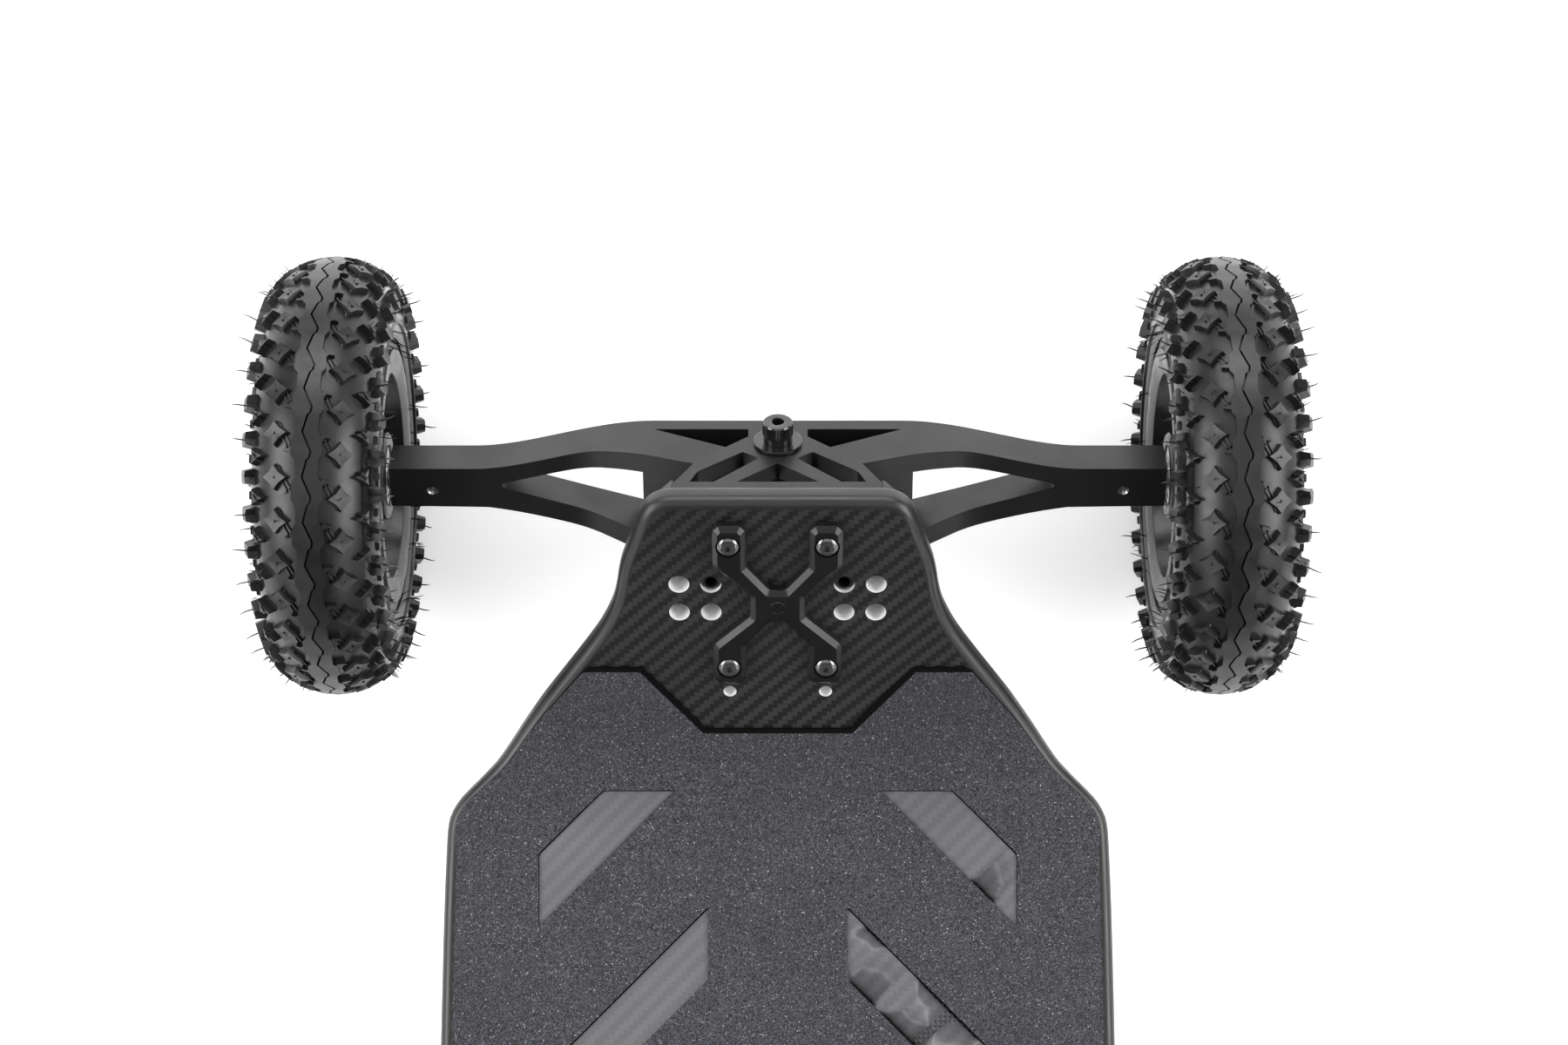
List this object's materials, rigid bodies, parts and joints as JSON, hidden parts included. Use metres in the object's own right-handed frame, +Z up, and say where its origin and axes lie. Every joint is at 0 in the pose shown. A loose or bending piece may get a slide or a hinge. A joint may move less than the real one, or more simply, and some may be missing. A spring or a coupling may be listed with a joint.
{
  "type": "electric skateboard",
  "caption": "All-terrain electric skateboard: carbon deck with raised tips, trussed kingpin trucks, knobbly pneumatic tyres, belt-drive motors at the tail and a battery enclosure below.",
  "frame": {"origin": "on the ground at the middle of the bounding box, under the middle of the deck", "axes": "+X to the board's right, +Y towards the nose (the end without motors), +Z up"},
  "size_m": [0.467, 1.1, 0.216],
  "materials": {
    "carbon": "woven carbon laminate, satin clear coat",
    "grit": "coarse sparkling grit",
    "anodised": "black anodised, satin",
    "tyre_rubber": "matt moulded rubber",
    "rubber": "matt",
    "black_steel": "black oxide, glossy",
    "steel": "bright zinc",
    "plastic": "satin black moulded",
    "copper": "enamelled copper windings on a steel core"
  },
  "bodies": {
    "board": {"deck": "carbon", "grip_tape": "grit", "enclosure": "carbon", "enclosure_gasket": "rubber", "battery_pack": "plastic", "motor_controller": "anodised", "charge_socket": "plastic", "cable_gland": "plastic", "front_top_plate": "plastic", "front_baseplate": "anodised", "front_kingpin": "black_steel", "front_kingpin_nut": "black_steel", "front_left_spring": "steel", "front_right_spring": "steel", "rear_top_plate": "plastic", "rear_baseplate": "anodised", "rear_kingpin": "black_steel", "rear_kingpin_nut": "black_steel", "rear_left_spring": "steel", "rear_right_spring": "steel"},
    "power_button": {"power_button": "plastic"},
    "charge_cap": {"charge_cap": "rubber"},
    "front_hanger": {"front_hanger": "anodised", "front_left_axle": "steel", "front_right_axle": "steel", "front_left_axle_nut": "black_steel", "front_right_axle_nut": "black_steel"},
    "rear_hanger": {"rear_hanger": "anodised", "rear_left_axle": "steel", "rear_right_axle": "steel", "rear_left_axle_nut": "black_steel", "rear_right_axle_nut": "black_steel", "rear_left_motor_mount": "anodised", "rear_right_motor_mount": "anodised", "rear_left_motor_stator": "copper", "rear_right_motor_stator": "copper", "rear_left_belt": "rubber", "rear_right_belt": "rubber"},
    "front_left_wheel": {"front_left_tyre": "tyre_rubber", "front_left_hub": "anodised", "front_left_inner_bearing": "steel", "front_left_outer_bearing": "steel"},
    "front_right_wheel": {"front_right_tyre": "tyre_rubber", "front_right_hub": "anodised", "front_right_inner_bearing": "steel", "front_right_outer_bearing": "steel"},
    "rear_left_wheel": {"rear_left_tyre": "tyre_rubber", "rear_left_hub": "anodised", "rear_left_inner_bearing": "steel", "rear_left_outer_bearing": "steel", "rear_left_wheel_pulley": "anodised"},
    "rear_left_motor_rotor": {"rear_left_motor_bell": "anodised", "rear_left_motor_pulley": "black_steel"},
    "rear_right_wheel": {"rear_right_tyre": "tyre_rubber", "rear_right_hub": "anodised", "rear_right_inner_bearing": "steel", "rear_right_outer_bearing": "steel", "rear_right_wheel_pulley": "anodised"},
    "rear_right_motor_rotor": {"rear_right_motor_bell": "anodised", "rear_right_motor_pulley": "black_steel"}
  },
  "joints": [
    {"name": "front_steer", "type": "hinge", "parent": "board", "child": "front_hanger", "pos_m": [0, 0.4371, 0.11843], "axis": [0, 0.8192, 0.5736], "range_deg": [-16, 16], "stiffness_Nm_per_rad": 90, "deforming": ["front_left_spring", "front_right_spring"]},
    {"name": "rear_steer", "type": "hinge", "parent": "board", "child": "rear_hanger", "pos_m": [0, -0.4371, 0.11843], "axis": [0, -0.8192, 0.5736], "range_deg": [-16, 16], "stiffness_Nm_per_rad": 90, "deforming": ["rear_left_spring", "rear_right_spring"]},
    {"name": "front_left_wheel_spin", "type": "hinge", "parent": "front_hanger", "child": "front_left_wheel", "pos_m": [-0.198, 0.45, 0.1], "axis": [1, 0, 0], "continuous": true},
    {"name": "front_right_wheel_spin", "type": "hinge", "parent": "front_hanger", "child": "front_right_wheel", "pos_m": [0.198, 0.45, 0.1], "axis": [1, 0, 0], "continuous": true},
    {"name": "rear_left_wheel_spin", "type": "hinge", "parent": "rear_hanger", "child": "rear_left_wheel", "pos_m": [-0.198, -0.45, 0.1], "axis": [1, 0, 0], "continuous": true},
    {"name": "rear_left_motor_rotor_spin", "type": "hinge", "parent": "rear_hanger", "child": "rear_left_motor_rotor", "pos_m": [-0.198, -0.51389, 0.14474], "axis": [1, 0, 0], "continuous": true},
    {"name": "rear_right_wheel_spin", "type": "hinge", "parent": "rear_hanger", "child": "rear_right_wheel", "pos_m": [0.198, -0.45, 0.1], "axis": [1, 0, 0], "continuous": true},
    {"name": "rear_right_motor_rotor_spin", "type": "hinge", "parent": "rear_hanger", "child": "rear_right_motor_rotor", "pos_m": [0.198, -0.51389, 0.14474], "axis": [1, 0, 0], "continuous": true},
    {"name": "power_button_press", "type": "slide", "parent": "board", "child": "power_button", "axis": [-1, 0, 0], "range_m": [0, 0.0012], "stiffness_N_per_m": 800, "springref_m": -0.0015},
    {"name": "charge_cap_open", "type": "hinge", "parent": "board", "child": "charge_cap", "pos_m": [0.11385, -0.19, 0.10893], "axis": [0, -1, 0], "range_deg": [0, 110], "stiffness_Nm_per_rad": 0.05, "springref_deg": -11.46}
  ],
  "couplings": [
    {"joint": "rear_left_motor_rotor_spin", "follows": "rear_left_wheel_spin", "ratio": 4},
    {"joint": "rear_right_motor_rotor_spin", "follows": "rear_right_wheel_spin", "ratio": 4}
  ]
}
